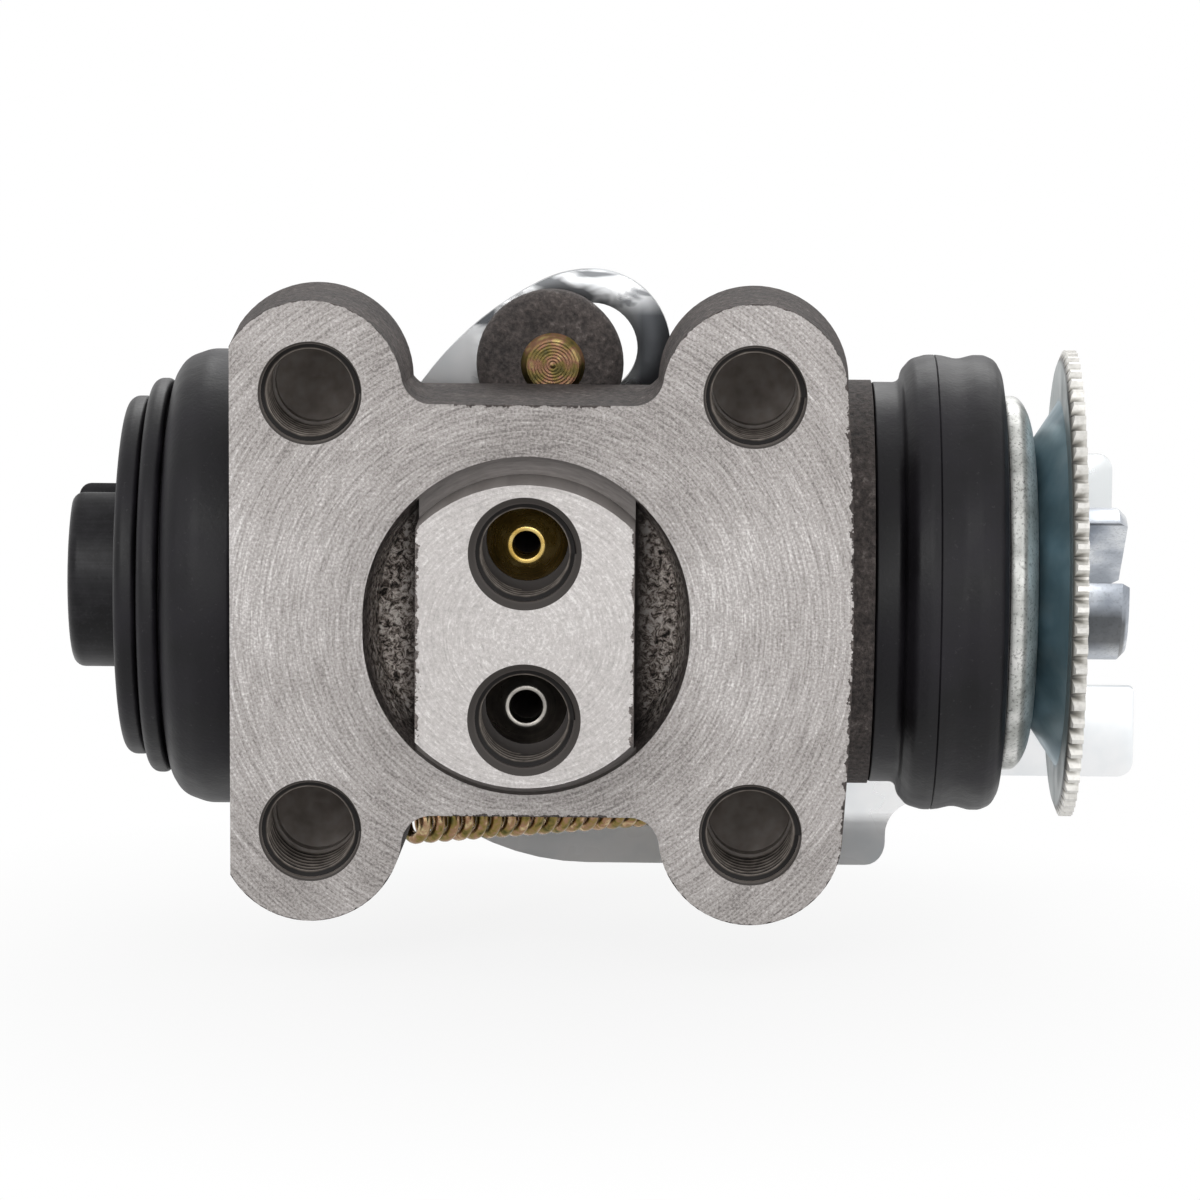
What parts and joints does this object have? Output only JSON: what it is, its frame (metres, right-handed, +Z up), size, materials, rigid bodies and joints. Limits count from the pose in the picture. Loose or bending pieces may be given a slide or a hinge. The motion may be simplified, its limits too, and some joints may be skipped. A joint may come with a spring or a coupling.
{
  "type": "wheel cylinder",
  "caption": "Iron drum-brake wheel cylinder with opposed pistons, rubber boots, a forked tappet and a toothed automatic adjuster indexed by a sprung lever.",
  "frame": {"origin": "centre of the four mounting bolt holes, on the machined mounting face", "axes": "+X along the bore towards the adjusting wheel, -Y out of the mounting face, +Z up towards the lever's pivot"},
  "size_m": [0.1391, 0.0809, 0.0829],
  "materials": {
    "cast_iron": "as cast, with turned faces",
    "brass": "turned",
    "seat_steel": "nickel plated",
    "machined_steel": "turned",
    "black_steel": "black oxide",
    "seal_rubber": "moulded",
    "boot_rubber": "moulded",
    "spring_steel": "drawn wire",
    "yellow_zinc": "yellow zinc plate",
    "bright_zinc": "bright zinc plate",
    "wheel_steel": "plated, with rolled teeth"
  },
  "bodies": {
    "cylinder": {"cylinder_body": "cast_iron", "inlet_seat": "brass", "outlet_seat": "seat_steel", "left_boot": "boot_rubber", "right_boot": "boot_rubber", "cup_spring": "spring_steel", "pivot_bolt": "yellow_zinc", "pivot_bush": "machined_steel", "pivot_washer": "yellow_zinc", "spring_pin": "machined_steel", "lever_spring": "yellow_zinc"},
    "left_plunger": {"left_piston": "machined_steel", "left_tappet": "black_steel", "left_cup": "seal_rubber", "left_expander": "yellow_zinc"},
    "right_plunger": {"right_piston": "machined_steel", "right_cup": "seal_rubber", "right_expander": "yellow_zinc", "boot_retainer": "bright_zinc"},
    "adjuster_wheel": {"star_wheel": "wheel_steel", "adjuster_sleeve": "machined_steel"},
    "shoe_screw": {"adjuster_screw": "bright_zinc"},
    "lever": {"adjuster_lever": "bright_zinc"}
  },
  "joints": [
    {"name": "left_piston_slide", "type": "slide", "parent": "cylinder", "child": "left_plunger", "axis": [-1, 0, 0], "range_m": [-0.003, 0.008], "deforming": ["left_boot", "cup_spring"]},
    {"name": "right_piston_slide", "type": "slide", "parent": "cylinder", "child": "right_plunger", "axis": [1, 0, 0], "range_m": [-0.003, 0.008], "deforming": ["right_boot", "cup_spring"]},
    {"name": "wheel_spin", "type": "hinge", "parent": "right_plunger", "child": "adjuster_wheel", "pos_m": [0.066, 0.0375, -0.0012], "axis": [1, 0, 0], "range_deg": [0, 1800]},
    {"name": "screw_slide", "type": "slide", "parent": "right_plunger", "child": "shoe_screw", "axis": [1, 0, 0], "range_m": [0, 0.0076]},
    {"name": "lever_pivot", "type": "hinge", "parent": "cylinder", "child": "lever", "pos_m": [0.00195, 0.03725, 0.0281], "axis": [0, 1, 0], "range_deg": [-3, 3], "stiffness_Nm_per_rad": 5, "deforming": ["lever_spring"]}
  ],
  "couplings": [
    {"joint": "screw_slide", "follows": "wheel_spin", "m_per_rad": 0.00023873}
  ]
}
